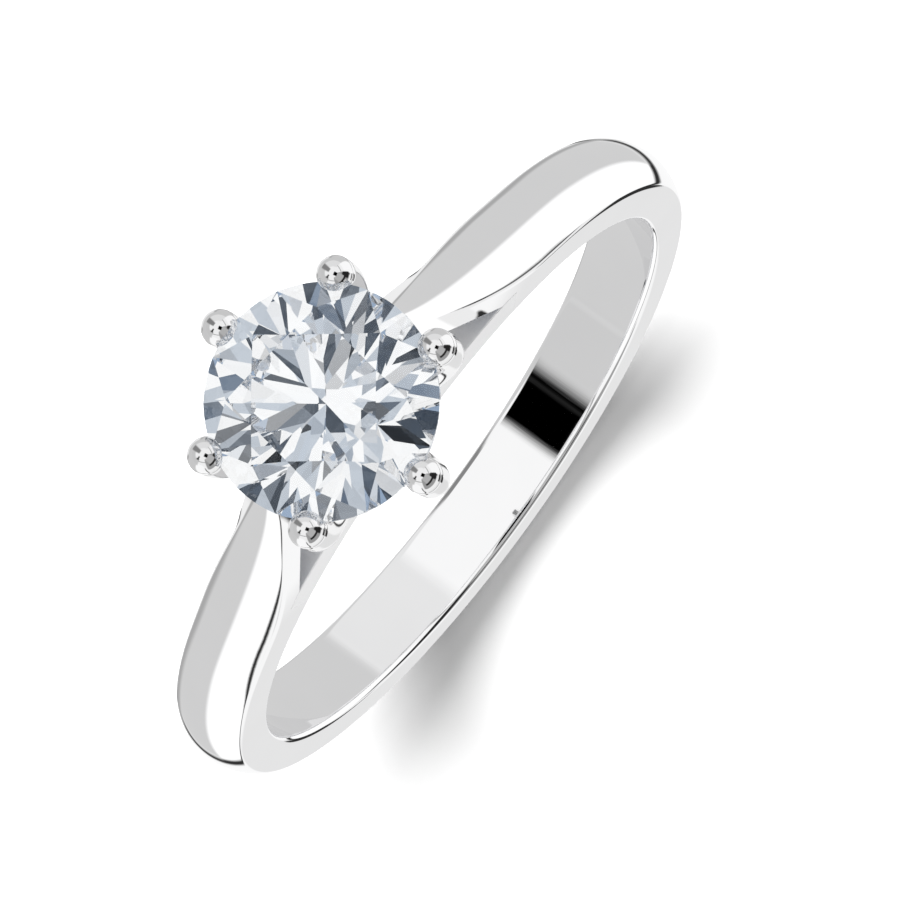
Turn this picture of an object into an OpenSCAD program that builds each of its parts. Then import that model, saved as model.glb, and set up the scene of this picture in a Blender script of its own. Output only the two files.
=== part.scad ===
// Six-claw solitaire ring with cathedral shoulders, built from the pieces a goldsmith would solder and set.
// Origin: centre of the finger hole. +Y runs along the finger, +Z points at the stone.

/* [Finger] */
// Inside diameter of the band
bore_d = 17.35; // [15.5:0.05:19.5]

/* [Band] */
// Width of the band at the back of the finger
band_w = 2.3; // [2:0.05:2.6]
// Width of the finger side of the band under the head
rail_w = 2.7; // [2.6:0.05:2.9]
// Height of the flat side of the band
side_h = 1.155; // [1.05:0.005:1.3]
// Rise of the rounded outside, as a share of its half width
dome_ratio = 0.41; // [0.3:0.01:0.5]

/* [Shoulders] */
// Angle above the sides at which the band is sawn and the shoulders begin
saw_angle = 57; // [56:0.5:58]
// Height of the bridge that closes the finger hole
bridge_h = 0.945; // [0.85:0.005:1]
// Half width of a shoulder where it meets the head
tip_half_w = 0.13; // [0.1:0.01:0.3]
// Height above the hole centre at which the top edge of a shoulder meets the head
tip_z = 13.3; // [13.2:0.05:13.4]

/* [Stone] */
// Diameter of the stone
stone_d = 6.42; // [6.3:0.01:6.45]
// Height of the middle of the girdle above the hole centre
girdle_z = 14.02; // [14:0.01:14.1]
// Thickness of the girdle at its thick places
girdle_t = 0.18; // [0.12:0.01:0.2]
// Table width as a share of the diameter
table_share = 0.57; // [0.53:0.01:0.6]
// Slope of the kite facets round the table
crown_angle = 34.5; // [33:0.5:36]
// Slope of the main facets under the girdle
pavilion_angle = 40.8; // [40:0.1:41.5]
// Turn of the stone about its own axis
stone_turn = 13.4; // [0:0.1:44.9]

/* [Claws] */
// Diameter of the claw wire under the stone
claw_d = 1.04; // [1:0.01:1.1]
// Diameter of the ball end of a claw
ball_d = 1; // [0.9:0.01:1]
// Radius of the circle through the ball ends
claw_circle_r = 3.42; // [3.4:0.01:3.5]

/* [Hidden] */
$fn = 96;

bore_r = bore_d / 2;
edge_r = bore_r + side_h;
bridge_r = bore_r + bridge_h;
half_w = band_w / 2;
rail_half_w = rail_w / 2;
cut_len = 8;              // length of the cutters through the band
spare = 0.4;              // extra stock that a cutter takes away
DOME_STEPS = 12;          // flats across the rounded outside
BAND_STEP = 3;            // degrees between cross-sections of the band
SHOULDER_STEPS = 28;      // cross-sections along a shoulder
PLAN_STEPS = 8;           // straight stretches along each side of the bridge

// Shoulder edge: a cubic curve that leaves the round band and sweeps up to the head
sweep_angle = 35;         // where the edge leaves the circle
sweep_out = 2.45;         // pull of the curve where it leaves the band
sweep_in = 5.4;           // pull of the curve where it meets the head
sweep_lean = 19.5;        // lean of the shoulder from upright at the head
tip_x = 2.85;             // where the shoulder meets the gallery rail
taper_len = 3.45;         // length over which the shoulder narrows, along X
shoulder_swell = 0.06;    // how much the shoulder widens before it narrows

// Underside of a shoulder: a straight line from the sawn face to the head
under_r = 9.24;           // its start, inside the bridge
under_tip = [2.7, 12.35]; // its end, inside the gallery rail
under_half_w = 0.85;      // half width of the shoulder's underside at the head

// Head
claw_count = 6;
claw_start = 30;          // angle of the first claw from +X
claw_ball_z = 14.15;      // centre of a ball end
claw_bend_z = 13.35;      // where the upright part of a claw ends
claw_bend_r = 2.6;        // radius of the bend
claw_bend_angle = 48;     // how far the claw turns inwards
claw_foot_d = 0.8;        // diameter of the claw at its foot
claw_foot_z = 9.95;       // height of the middle of the foot
claw_lap = 0.1;           // how far the foot reaches up inside the bend
claw_step = 0.04;         // how much thinner the foot is where it leaves the bend
rail_in_r = 2.45;
rail_out_r = 2.85;
rail_low_z = 12.3;
rail_top_z = 13.2;
rail_ease = 0.08;
base_r = 1.3;
base_top_z = 10.15;
peg_d = 1;
seat_angle = 46;          // slope of the claw seat above and below the girdle
seat_in_r = 2.5;          // how far in the seat cutter reaches
GIRDLE_STEPS = 4;         // girdle edges under each small crown facet
STAR_SHARE = 0.5;         // reach of the star facets from the table to the girdle
HALF_SHARE = 0.77;        // reach of the lower halves from the girdle to the culet

SILVER = [0.86, 0.87, 0.88];
ICE = [0.8, 0.9, 1, 0.6];

function polar(r, a) = [r * cos(a), r * sin(a)];
function mix(a, b, t) = a + (b - a) * t;
function clamp01(t) = max(0, min(1, t));

// Points of the shoulder edge curve
edge_start = polar(edge_r, sweep_angle);
edge_end = [tip_x, tip_z];
edge_pull_a = edge_start + sweep_out * [-sin(sweep_angle), cos(sweep_angle)];
edge_pull_b = edge_end - sweep_in * [-sin(sweep_lean), cos(sweep_lean)];

function edge_point(t) =
    pow(1 - t, 3) * edge_start + 3 * t * pow(1 - t, 2) * edge_pull_a
    + 3 * t * t * (1 - t) * edge_pull_b + pow(t, 3) * edge_end;
function angle_of(p) = atan2(p[1], p[0]);
// Place along the curve that lies at a given angle, by halving
function edge_t(a, lo = 0, hi = 1, steps = 24) =
    let (mid = (lo + hi) / 2)
    steps == 0 ? mid
    : angle_of(edge_point(mid)) < a ? edge_t(a, mid, hi, steps - 1) : edge_t(a, lo, mid, steps - 1);
function edge_at(a) = a <= sweep_angle ? polar(edge_r, a) : edge_point(edge_t(a));

// Half width of the rounded top at an edge point, and of the finger side at an angle
function top_half_w(p) =
    let (
        u = p[1] < edge_start[1] ? 1 : clamp01((p[0] - tip_x) / taper_len),
        lift = pow(max(0, sin(angle_of(p))), 2)
    )
    mix(tip_half_w, half_w + shoulder_swell * lift, pow(sin(90 * u), 0.8));
function side_half_w(a) = half_w + (rail_half_w - half_w) * pow(max(0, sin(a)), 2);

// Rounded top over a flat side of height h: an arc from one edge to the other
function dome(w, h) =
    let (
        rise = dome_ratio * w,
        r = (w * w + rise * rise) / (2 * rise),
        half = asin(w / r)
    )
    [for (i = [0:DOME_STEPS])
        let (a = half * (2 * i / DOME_STEPS - 1))
        [r * sin(a), h + r * cos(a) - r + rise]];

// One cross-section. low is its place on the finger side in the XZ plane, out points away from it,
// and top lists the outline's upper points as [y, height above low].
function section(low, out, low_w, top) =
    [for (q = concat([[-low_w, 0]], top, [[low_w, 0]]))
        [low[0] + q[1] * out[0], q[0], low[1] + q[1] * out[1]]];

// Cross-section of the band at an angle; past the bottom it is the mirror image of the other side
function band_section(a) =
    let (
        back = a < -90,
        b = back ? -180 - a : a,
        edge = edge_at(b),
        low_r = bore_r - spare,
        top = dome(top_half_w(edge), norm(edge) - low_r),
        points = section(polar(low_r, b), polar(1, b), side_half_w(b), top)
    )
    [for (q = points) [back ? -q[0] : q[0], q[1], q[2]]];

// Cross-section of the right shoulder: s is 0 at the sawn face and 1 at the head
function shoulder_section(s) =
    let (
        t = mix(edge_t(saw_angle), 1, s),
        edge = edge_point(t),
        low = mix(polar(under_r, saw_angle), under_tip, s),
        out = (edge - low) / norm(edge - low),
        w = mix(side_half_w(saw_angle), under_half_w, s)
    )
    section(low, out, w, dome(top_half_w(edge), norm(edge - low)));

// Closed solid through a row of cross-sections
module loft(rings) {
    n = len(rings[0]);
    m = len(rings);
    points = [for (ring = rings) each ring];
    sides = [for (i = [0:m - 2], j = [0:n - 1])
        let (k = (j + 1) % n)
        each [
            [i * n + j, i * n + k, (i + 1) * n + k],
            [i * n + j, (i + 1) * n + k, (i + 1) * n + j]
        ]];
    first = [for (j = [n - 1:-1:0]) j];
    last = [for (j = [0:n - 1]) (m - 1) * n + j];
    polyhedron(points = points, faces = concat(sides, [first, last]), convexity = 6);
}

// Cylinder along the finger axis; its seam lies at the angle given, clear of the piece it cuts
module finger_cyl(r, seam) {
    rotate([90, 0, 0])
        rotate([0, 0, seam])
            cylinder(r = r, h = cut_len, center = true, $fn = 240);
}

// Band: round at the back of the finger, rising into the shoulders, open under the head
module shank() {
    turn = 180 + 2 * saw_angle;
    steps = turn / BAND_STEP;
    color(SILVER)
        difference() {
            loft([for (i = [0:steps]) band_section(saw_angle - turn * i / steps)]);
            finger_cyl(bore_r, 90);
        }
}

// Bridge: closes the finger hole under the head, drilled for the peg
module bridge() {
    reach = 2 * bridge_r;
    fan = [for (a = [saw_angle, 180 - saw_angle]) polar(reach, a)];
    plan_a = [for (i = [0:PLAN_STEPS]) saw_angle + (180 - 2 * saw_angle) * i / PLAN_STEPS];
    plan_r = (bore_r + bridge_r) / 2;
    near = [for (a = plan_a) [plan_r * cos(a), -side_half_w(a)]];
    far = [for (q = near) [q[0], -q[1]]];
    ends = [for (x = [-1, 1]) [x * bridge_r, side_half_w(saw_angle)]];
    color(SILVER)
        difference() {
            intersection() {
                finger_cyl(bridge_r, -90);
                rotate([90, 0, 0])
                    linear_extrude(height = cut_len, center = true)
                        polygon(concat([[0, 0]], fan));
                linear_extrude(height = reach)
                    polygon(concat(
                        [[ends[1][0], -ends[1][1]]],
                        near,
                        [[ends[0][0], -ends[0][1]], ends[0]],
                        [for (i = [PLAN_STEPS:-1:0]) far[i]],
                        [ends[1]]
                    ));
            }
            finger_cyl(bore_r, -90);
            cylinder(d = peg_d, h = reach);
        }
}

// Shoulder: sits on the sawn face and the bridge, and ends against the gallery rail
module shoulder() {
    past = 1.02;
    color(SILVER)
        difference() {
            loft([for (i = [0:SHOULDER_STEPS]) shoulder_section(past * (1 - i / SHOULDER_STEPS))]);
            finger_cyl(bridge_r, -90);
            cylinder(r = rail_out_r, h = 2 * tip_z);
        }
}

module shoulder_right() {
    shoulder();
}

module shoulder_left() {
    mirror([1, 0, 0])
        shoulder();
}

// Rail under the stone that the claws and the shoulders are soldered to
module rail_solid() {
    rotate_extrude()
        polygon([
            [rail_in_r, rail_low_z + rail_ease],
            [rail_in_r + rail_ease, rail_low_z],
            [rail_out_r, rail_low_z],
            [rail_out_r, rail_top_z],
            [rail_in_r + rail_ease, rail_top_z],
            [rail_in_r, rail_top_z - rail_ease]
        ]);
}

module gallery_rail() {
    color(SILVER)
        rail_solid();
}

// Uncut claw on +X: ball end, upright part, bend and tapered foot
module claw_stock() {
    bend_x = claw_circle_r - claw_bend_r;
    foot_top = [
        bend_x + claw_bend_r * cos(claw_bend_angle),
        claw_bend_z - claw_bend_r * sin(claw_bend_angle)
    ];
    foot_len = (foot_top[1] - claw_foot_z) / cos(claw_bend_angle);
    translate([claw_circle_r, 0, claw_ball_z])
        sphere(d = ball_d);
    translate([claw_circle_r, 0, claw_bend_z])
        cylinder(d = claw_d, h = claw_ball_z - claw_bend_z);
    translate([bend_x, 0, claw_bend_z])
        rotate([-90, 0, 0])
            rotate_extrude(angle = claw_bend_angle)
                translate([claw_bend_r, 0])
                    circle(d = claw_d);
    translate([foot_top[0], 0, foot_top[1]])
        rotate([0, 180 + claw_bend_angle, 0])
            translate([0, 0, -claw_lap])
                cylinder(d1 = claw_d - claw_step, d2 = claw_foot_d, h = foot_len + claw_lap);
}

// Groove that holds the girdle
module girdle_seat() {
    stone_r = stone_d / 2;
    reach = (stone_r - seat_in_r) * tan(seat_angle);
    rotate_extrude()
        polygon([
            [stone_r, girdle_z - girdle_t / 2],
            [stone_r, girdle_z + girdle_t / 2],
            [seat_in_r, girdle_z + girdle_t / 2 + reach],
            [seat_in_r, girdle_z - girdle_t / 2 - reach]
        ]);
}

// Claw n, cut for the girdle and notched round the gallery rail
module claw(n) {
    color(SILVER)
        rotate([0, 0, claw_start + 360 / claw_count * (n - 1)])
            difference() {
                claw_stock();
                girdle_seat();
                rail_solid();
            }
}

module claw_1() { claw(1); }
module claw_2() { claw(2); }
module claw_3() { claw(3); }
module claw_4() { claw(4); }
module claw_5() { claw(5); }
module claw_6() { claw(6); }

// Turned base of the head: a saddle on the bridge, a peg through it and six notches for the claws
module head_base() {
    color(SILVER)
        difference() {
            union() {
                difference() {
                    translate([0, 0, bore_r])
                        cylinder(r = base_r, h = base_top_z - bore_r);
                    finger_cyl(bridge_r, -90);
                }
                cylinder(d = peg_d, h = base_top_z);
            }
            finger_cyl(bore_r, -90);
            for (i = [0:claw_count - 1])
                rotate([0, 0, claw_start + 360 / claw_count * i])
                    claw_stock();
        }
}

// Ring of stone points at the girdle. The small facets meet it at heights that follow from their own
// slope: peak is their far corner as [radius, height], up is 1 above the girdle and -1 below.
function girdle_points(peak, level) =
    let (
        stone_r = stone_d / 2,
        step = 22.5 / GIRDLE_STEPS,
        chord = stone_r * cos(11.25),
        slope = (peak[1] - level) / (chord - peak[0] * cos(11.25))
    )
    [for (i = [0:16 * GIRDLE_STEPS - 1])
        let (off = (i % GIRDLE_STEPS) * step - 11.25)
        [
            stone_r * cos(i * step),
            stone_r * sin(i * step),
            level - (stone_r * cos(off) - chord) * slope
        ]];

// Round brilliant
module diamond() {
    stone_r = stone_d / 2;
    top_level = girdle_z + girdle_t / 2;
    low_level = girdle_z - girdle_t / 2;
    table_r = table_share * stone_r;
    table_z = top_level + (stone_r - table_r) * tan(crown_angle);
    table_flat = table_r * cos(22.5);
    star_r = table_flat + STAR_SHARE * (stone_r - table_flat);
    star_z = top_level + (stone_r - star_r * cos(22.5)) * tan(crown_angle);
    half_r = (1 - HALF_SHARE) * stone_r;
    half_z = low_level - (stone_r - half_r * cos(22.5)) * tan(pavilion_angle);
    culet = [0, 0, low_level - stone_r * tan(pavilion_angle)];
    ring = function (r, z, start) [for (i = [0:7]) [r * cos(start + 45 * i), r * sin(start + 45 * i), z]];
    points = concat(
        ring(table_r, table_z, 0),
        ring(star_r, star_z, 22.5),
        girdle_points([star_r, star_z], top_level),
        girdle_points([half_r, half_z], low_level),
        ring(half_r, half_z, 22.5),
        [culet]
    );
    color(ICE)
        rotate([0, 0, stone_turn])
            hull()
                polyhedron(points = points, faces = [[for (i = [0:len(points) - 1]) i]]);
}

shank();
bridge();
shoulder_left();
shoulder_right();
head_base();
gallery_rail();
claw_1();
claw_2();
claw_3();
claw_4();
claw_5();
claw_6();
diamond();
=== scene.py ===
"""Six-claw solitaire ring with cathedral shoulders: white metal round a brilliant-cut stone.

Shapes are worked out in millimetres and stored in metres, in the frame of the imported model: the
origin is the centre of the finger hole, +Y runs along the finger and +Z points at the stone.
Angles of the band are in degrees, counted from +X towards +Z.
"""

import logging
from dataclasses import dataclass, field
from enum import Enum
from functools import partial
from typing import ClassVar

import bpy
import numpy as np
from mathutils import Matrix, Vector


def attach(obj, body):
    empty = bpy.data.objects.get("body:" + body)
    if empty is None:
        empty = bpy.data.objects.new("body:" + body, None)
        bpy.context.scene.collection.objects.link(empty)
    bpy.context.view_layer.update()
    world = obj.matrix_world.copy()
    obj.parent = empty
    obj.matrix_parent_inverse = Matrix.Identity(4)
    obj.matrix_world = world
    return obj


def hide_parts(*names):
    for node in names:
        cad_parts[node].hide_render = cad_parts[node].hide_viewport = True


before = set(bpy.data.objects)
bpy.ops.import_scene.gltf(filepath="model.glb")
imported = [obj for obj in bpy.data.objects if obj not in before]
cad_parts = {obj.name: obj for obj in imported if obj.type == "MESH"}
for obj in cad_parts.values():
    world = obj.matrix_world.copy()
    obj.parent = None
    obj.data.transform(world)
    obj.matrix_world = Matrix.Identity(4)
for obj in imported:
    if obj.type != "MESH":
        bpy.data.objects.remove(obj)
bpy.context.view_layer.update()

MM = 0.001
FLOOR_Z = -10.3
SEAT = 0.004  # how far a seated face reaches into its neighbour, in millimetres
BEHIND = 0.0001  # a card is not seen where less than this share of a direction heads out to it
LOG = logging.getLogger("ring")
NUMBER, VECTOR, COLOUR = "NodeSocketFloat", "NodeSocketVector", "NodeSocketColor"

Array = np.ndarray
Colour = tuple[float, float, float]
Material = bpy.types.Material
Tree = bpy.types.NodeTree
Socket = bpy.types.NodeSocket
Sockets = bpy.types.bpy_prop_collection
Inputs = dict[str | int, object]


class Slot(Enum):
    """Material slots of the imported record."""

    METAL = "white_metal"
    STONE = "diamond"


# --- Shapes ---


def polar(radius: Array | float, angle: Array | float) -> Array:
    """Points (x, z) at a radius and an angle in degrees: radius times (cos, sin) of the angle."""
    turn = np.radians(angle)
    return np.stack([radius * np.cos(turn), radius * np.sin(turn)], axis=-1)


def turned(radius: Array | float, turn: Array, height: Array | float) -> Array:
    """Points (x, y, z) at a radius from the Z axis, an angle in radians and a height."""
    parts = radius * np.cos(turn), radius * np.sin(turn), height
    return np.stack(np.broadcast_arrays(*parts), -1)


def angle_of(points: Array) -> Array:
    """Angle in degrees of points (x, z), counted from +X towards +Z."""
    return np.degrees(np.arctan2(points[..., 1], points[..., 0]))


def mix(a: Array | float, b: Array | float, share: Array | float) -> Array:
    """Straight blend: a plus share times the way from a to b."""
    return a + (b - a) * share


def unit(vectors: Array) -> Array:
    """The vectors, each divided by its length."""
    return vectors / np.maximum(np.linalg.norm(vectors, axis=-1, keepdims=True), 1e-12)


def eased_corner(start: Array, corner: Array, end: Array, steps: int) -> Array:
    """Rounds corners (n, 2) with parabolas: (1-t)^2 start + 2t(1-t) corner + t^2 end."""
    t = np.linspace(0.0, 1.0, steps + 1)[None, :, None]
    leave, turn, join = start[:, None], corner[:, None], end[:, None]
    return (1 - t) ** 2 * leave + 2 * t * (1 - t) * turn + t**2 * join


def straight(start: Array, end: Array, steps: int) -> Array:
    """Points (n, steps - 1, 2) strictly between start and end, evenly spaced."""
    t = np.linspace(0.0, 1.0, steps + 1)[None, 1:-1, None]
    return mix(start[:, None], end[:, None], t)


@dataclass(frozen=True)
class Outline:
    """Cross-section of a bar with a flat finger side, leaning walls and a rounded or flat top.

    Each size is an array with one number per cross-section. Half widths are measured along Y, and
    heights are distances from the axis of the finger hole.
    """

    low_w: Array
    low_r: Array
    top_w: Array
    top_r: Array
    dome_ratio: float = 0.0
    low_ease: float = 0.04
    top_ease: float = 0.11
    flat_steps: int = 8
    wall_steps: int = 5
    ease_steps: int = 8
    dome_steps: int = 44

    def half(self) -> Array:
        """The half with positive Y, from the middle of the finger side to the middle of the top.

        Returns:
            Points (n, m, 2) as (half width, height). The top is an arc through both edges whose
            rise is dome_ratio times its half width, or a straight line where dome_ratio is 0.
        """
        low = np.stack([self.low_w, self.low_r], -1)
        top = np.stack([self.top_w, self.top_r], -1)
        up = unit(top - low)
        inward = np.array([-1.0, 0.0])
        middle_low = low * [0.0, 1.0]
        low_start = low + inward * self.low_ease
        low_end = low + up * self.low_ease
        top_start = top - up * self.top_ease
        if self.dome_ratio:
            rise = self.dome_ratio * self.top_w
            radius = (self.top_w**2 + rise**2) / (2 * rise)
            spread = np.arcsin(self.top_w / radius)
            edge = spread - self.top_ease / radius
            bow = edge[:, None] * np.linspace(1.0, 0.0, self.dome_steps // 2 + 1)
            drop = (radius - rise - self.top_r)[:, None]
            radius = radius[:, None]
            arc = np.stack([radius * np.sin(bow), radius * np.cos(bow) - drop], -1)
            top_end, crown = arc[:, 0], arc[:, 1:]
        else:
            top_end = top + inward * self.top_ease
            middle_top = top * [0.0, 1.0]
            across = straight(top_end, middle_top, self.flat_steps // 2)
            crown = np.concatenate([across, middle_top[:, None]], 1)
        parts = [
            middle_low[:, None],
            straight(middle_low, low_start, self.flat_steps // 2),
            eased_corner(low_start, low, low_end, self.ease_steps),
            straight(low_end, top_start, self.wall_steps),
            eased_corner(top_start, top, top_end, self.ease_steps),
            crown,
        ]
        return np.concatenate(parts, 1)

    def loop(self) -> Array:
        """The whole closed outline: the half, then its mirror image back to the start."""
        side = self.half()
        back = side[:, -2:0:-1] * [-1.0, 1.0]
        return np.concatenate([side, back], 1)


def lay_out(loop: Array, angle: Array) -> Array:
    """Stands outlines (n, m, 2) in the planes through the finger axis: (x, y, z) at each angle."""
    out = polar(1.0, angle)[:, None]
    width, height = loop[..., 0], loop[..., 1]
    return np.stack([height * out[..., 0], width, height * out[..., 1]], -1)


def bar_normals(points: Array) -> Array:
    """Outward unit normals of a bar's surface.

    Args:
        points: Closed cross-sections along a path, (n, m, 3).

    Returns:
        The cross product of the slope along the path and the slope round the section, (n, m, 3),
        turned so that it points away from the middle of the section.
    """
    along = np.gradient(points, axis=0)
    around = np.roll(points, -1, axis=1) - np.roll(points, 1, axis=1)
    normals = unit(np.cross(along, around))
    outward = points - points.mean(axis=1, keepdims=True)
    sign = np.sign((normals * outward).sum(-1).mean())
    return normals * sign


@dataclass
class Skin:
    """A closed mesh as arrays: points (n, 3) in millimetres and lists of faces of equal size.

    Where normals are given, one for each point, faces listed in smooth take them; the other faces
    keep their own flat normal.
    """

    points: Array
    smooth: list[Array] = field(default_factory=list)
    flat: list[Array] = field(default_factory=list)
    normals: Array | None = None

    def oriented(self) -> "Skin":
        """Turns every face round if the enclosed volume comes out negative."""
        total = 0.0
        for faces in self.smooth + self.flat:
            corners = self.points[faces]
            for k in range(1, corners.shape[1] - 1):
                cross = np.cross(corners[:, k], corners[:, k + 1])
                total += (corners[:, 0] * cross).sum()
        if total < 0:
            self.smooth = [f[:, ::-1] for f in self.smooth]
            self.flat = [f[:, ::-1] for f in self.flat]
        return self


def tube_quads(index: Array, after: Array) -> Array:
    """Quads (k, 4) from rings of point numbers (n, m) to the rings that come after them."""
    corners = [index, np.roll(index, -1, 1), np.roll(after, -1, 1), after]
    return np.stack(corners, -1).reshape(-1, 4)


def band_skin(points: Array) -> Skin:
    """Bar through cross-sections (n, m, 3) but the first and last, which only give slopes."""
    normals, points = bar_normals(points)[1:-1], points[1:-1]
    index = np.arange(points.size // 3).reshape(points.shape[:2])
    quads = tube_quads(index[:-1], index[1:])
    caps = np.stack([index[0][::-1], index[-1]])
    return Skin(points.reshape(-1, 3), [quads], [caps], normals.reshape(-1, 3)).oriented()


def turned_skin(rings: Array, first: Array, last: Array) -> Skin:
    """Closed shape through rings (n, m, 3), with a point at each end: quads and two fans."""
    n, m = rings.shape[:2]
    index = np.arange(n * m).reshape(n, m)
    quads = tube_quads(index[:-1], index[1:])
    start, end = np.full(m, n * m), np.full(m, n * m + 1)
    low, high = index[0], index[-1]
    low_fan = np.stack([start, np.roll(low, -1), low], -1)
    high_fan = np.stack([end, high, np.roll(high, -1)], -1)
    points = np.concatenate([rings.reshape(-1, 3), first[None], last[None]])
    return Skin(points, [quads, np.concatenate([low_fan, high_fan])]).oriented()


def torus_skin(rings: Array) -> Skin:
    """Closed ring through cross-sections (n, m, 3) that runs back into its own start."""
    index = np.arange(rings.size // 3).reshape(rings.shape[:2])
    return Skin(rings.reshape(-1, 3), [tube_quads(index, np.roll(index, -1, 0))]).oriented()


def store(name: str, skin: Skin, crease: float | None = None) -> bpy.types.Object:
    """Makes a Blender object from a skin.

    Args:
        name: Name of the piece.
        skin: The closed mesh in millimetres.
        crease: Angle in degrees above which an edge stays sharp, where the skin has no normals.

    Returns:
        The object, at the origin, with its place in its mesh in metres.
    """
    blocks = skin.smooth + skin.flat
    corners = np.concatenate([f.reshape(-1) for f in blocks])
    sizes = np.concatenate([np.full(len(f), f.shape[1]) for f in blocks])
    starts = np.concatenate([[0], np.cumsum(sizes)[:-1]])
    smooth = len(skin.smooth)
    rounded = np.concatenate([np.full(len(f), i < smooth) for i, f in enumerate(blocks)])
    mesh = bpy.data.meshes.new(name)
    mesh.vertices.add(len(skin.points))
    mesh.vertices.foreach_set("co", (skin.points * MM).astype(np.float32).ravel())
    mesh.loops.add(len(corners))
    mesh.loops.foreach_set("vertex_index", corners.astype(np.int32))
    mesh.polygons.add(len(sizes))
    mesh.polygons.foreach_set("loop_start", starts.astype(np.int32))
    mesh.polygons.foreach_set("use_smooth", rounded)
    mesh.update(calc_edges=True)
    mesh.validate()
    if skin.normals is not None:
        at_corner = skin.normals[corners]
        own = np.zeros(len(mesh.polygons) * 3)
        mesh.polygons.foreach_get("normal", own)
        own = np.repeat(own.reshape(-1, 3), sizes, axis=0)
        sharp = np.repeat(~rounded, sizes)
        at_corner = np.where(sharp[:, None], own, at_corner)
        mesh.normals_split_custom_set(at_corner.tolist())
    elif crease is not None:
        mesh.set_sharp_from_angle(angle=np.radians(crease))
    piece = bpy.data.objects.new(name, mesh)
    bpy.context.scene.collection.objects.link(piece)
    return piece


def fit_piece(
    name: str,
    skin: Skin,
    material: Material,
    node: str,
    crease: float | None = None,
) -> None:
    """Stores a skin as a piece of the ring, dresses it and lets it stand for its CAD node."""
    piece = store(name, skin, crease)
    piece.data.materials.append(material)
    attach(piece, "root")
    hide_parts(node)
    LOG.info("%s: %d faces, stands for %s", name, len(piece.data.polygons), node)


# --- Finishes ---


def set_inputs(tree: Tree, node: bpy.types.Node, inputs: Inputs) -> None:
    """Sets a node's inputs, by name or number, to values, or links sockets to them."""
    for key, value in inputs.items():
        if isinstance(value, Socket):
            tree.links.new(value, node.inputs[key])
        else:
            node.inputs[key].default_value = value


def add_node(
    tree: Tree, kind: str, inputs: Inputs | None = None, **values: object
) -> bpy.types.Node:
    """Adds a shader node to a tree, sets its properties and then its inputs."""
    node = tree.nodes.new(f"ShaderNode{kind}")
    for key, value in values.items():
        setattr(node, key, value)
    set_inputs(tree, node, inputs or {})
    return node


def new_group(name: str, inputs: Inputs, outputs: dict[str, str]) -> tuple[Tree, Sockets]:
    """Makes an empty shader node group with named sockets.

    Args:
        name: Name of the group.
        inputs: Starting value of each input: a number, a vector or a colour with alpha.
        outputs: Socket type of each output.

    Returns:
        The group, whose last node is named "out", and the sockets that carry its inputs.
    """
    kinds = {1: NUMBER, 3: VECTOR, 4: COLOUR}
    group = bpy.data.node_groups.new(name, "ShaderNodeTree")
    for key, value in inputs.items():
        kind = kinds[np.size(value)]
        socket = group.interface.new_socket(key, in_out="INPUT", socket_type=kind)
        socket.default_value = value
    for key, kind in outputs.items():
        group.interface.new_socket(key, in_out="OUTPUT", socket_type=kind)
    group.nodes.new("NodeGroupOutput").name = "out"
    return group, group.nodes.new("NodeGroupInput").outputs


def new_material(name: str) -> tuple[Material, Tree, bpy.types.Node]:
    """Makes a plain material: the material, its node tree and its Principled shader."""
    material = bpy.data.materials.new(name)
    material.use_nodes = True
    tree = material.node_tree
    return material, tree, tree.nodes["Principled BSDF"]


def drifting(tree: Tree, scale: float, first: Colour, second: Colour) -> Socket:
    """Colour that drifts between two tones with soft noise in Object coordinates."""
    place = add_node(tree, "TexCoord").outputs["Object"]
    noise = add_node(tree, "TexNoise", {"Vector": place, "Scale": scale, "Detail": 2.0})
    share = {"Factor": noise.outputs["Fac"], "A": (*first, 1.0), "B": (*second, 1.0)}
    return add_node(tree, "Mix", data_type="RGBA", inputs=share).outputs["Result"]


def polish_group() -> Tree:
    """Effect of hand polishing: soft clouds in gloss and tone, and fine buffing lines.

    Returns:
        A group that reads Object coordinates and gives Tone, Roughness and Height.
    """
    group, enter = new_group(
        "Polish",
        {
            "Colour": (0.9, 0.9, 0.9, 1.0),
            "Shade": 0.98,
            "Gloss Low": 0.02,
            "Gloss High": 0.05,
            "Cloud Scale": 400.0,
            "Line Scale": 9000.0,
        },
        {"Tone": COLOUR, "Roughness": NUMBER, "Height": NUMBER},
    )
    place = add_node(group, "TexCoord").outputs["Object"]
    cloud_look = {"Vector": place, "Scale": enter["Cloud Scale"], "Detail": 3.0}
    cloud = add_node(group, "TexNoise", cloud_look).outputs["Fac"]

    def between(low: Socket, high: Socket | float) -> Socket:
        """Value that drifts from low to high with the clouds."""
        span = {"Value": cloud, "From Min": 0.3, "From Max": 0.7, "To Min": low, "To Max": high}
        return add_node(group, "MapRange", span).outputs[0]

    shade = {0: enter["Colour"], "Scale": between(enter["Shade"], 1.0)}
    tone = add_node(group, "VectorMath", shade, operation="SCALE")
    stretch = add_node(group, "Mapping", {"Vector": place, "Scale": (1.0, 0.06, 1.0)})
    line_look = {"Vector": stretch.outputs[0], "Scale": enter["Line Scale"], "Detail": 2.0}
    line = add_node(group, "TexNoise", line_look)
    results = {
        "Tone": tone.outputs[0],
        "Roughness": between(enter["Gloss Low"], enter["Gloss High"]),
        "Height": line.outputs["Fac"],
    }
    set_inputs(group, group.nodes["out"], results)
    return group


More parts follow.
